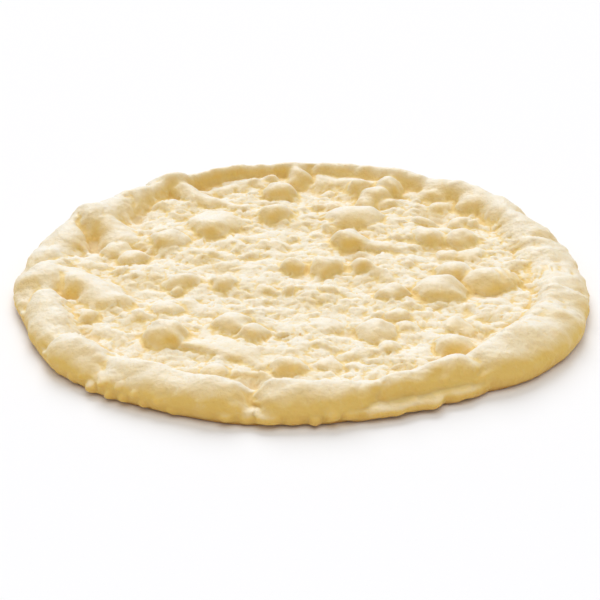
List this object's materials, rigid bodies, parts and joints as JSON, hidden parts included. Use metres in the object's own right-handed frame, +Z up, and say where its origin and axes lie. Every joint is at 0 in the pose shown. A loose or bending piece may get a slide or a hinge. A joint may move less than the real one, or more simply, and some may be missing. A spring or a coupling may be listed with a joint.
{
  "type": "pizza base",
  "caption": "Round base of pale, lightly baked dough with a raised, uneven rolled rim and gas blisters all over its top, ready to carry toppings.",
  "frame": {"origin": "centre of the base's outline on its flat underside", "axes": "+Z up, out of the blistered top; -Y is the side of the rim with the deepest notch"},
  "size_m": [0.303, 0.295, 0.0194],
  "materials": {
    "dough": "dry, matt, pale baked dough"
  },
  "bodies": {
    "root": {"dough": "dough"}
  },
  "joints": []
}
